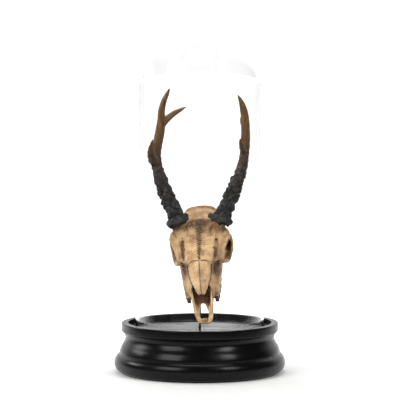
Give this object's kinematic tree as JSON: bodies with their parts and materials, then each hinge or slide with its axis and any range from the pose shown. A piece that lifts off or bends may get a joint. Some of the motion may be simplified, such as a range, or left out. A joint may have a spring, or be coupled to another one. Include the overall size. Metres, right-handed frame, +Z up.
{
  "type": "roe deer skull with antlers under a glass dome",
  "caption": "Roe buck skull without its lower jaw, with pearled antlers, held nose down on a thin rod inside a tall glass dome on a turned black base.",
  "frame": {"origin": "middle of the base's underside, on the surface that it stands on", "axes": "+Z up along the dome's axis, the skull's face and snout towards -Y, +X to the right of someone who looks at the face"},
  "size_m": [0.2444, 0.2444, 0.508],
  "materials": {
    "lacquered_wood": "satin black lacquer on turned wood",
    "gloss_disc": "high-gloss black lacquer",
    "dome_glass": "clear",
    "rod_steel": "dark",
    "bone": "dry tan bone with a brown wash in its hollows",
    "antler": "pearled charcoal at the foot, brown and smoother towards the tips"
  },
  "bodies": {
    "root": {"base_turned": "lacquered_wood", "base_disc": "gloss_disc", "glass_dome": "dome_glass", "mount_rod": "rod_steel", "braincase": "bone", "frontal_left": "bone", "frontal_right": "bone", "upper_jaw_left": "bone", "upper_jaw_right": "bone", "premaxilla_left": "bone", "premaxilla_right": "bone", "nasal_left": "bone", "nasal_right": "bone", "antler_left_beam": "antler", "antler_left_top": "antler", "antler_left_front_tine": "antler", "antler_left_rear_tine": "antler", "antler_right_beam": "antler", "antler_right_top": "antler", "antler_right_front_tine": "antler", "antler_right_rear_tine": "antler"}
  },
  "joints": []
}
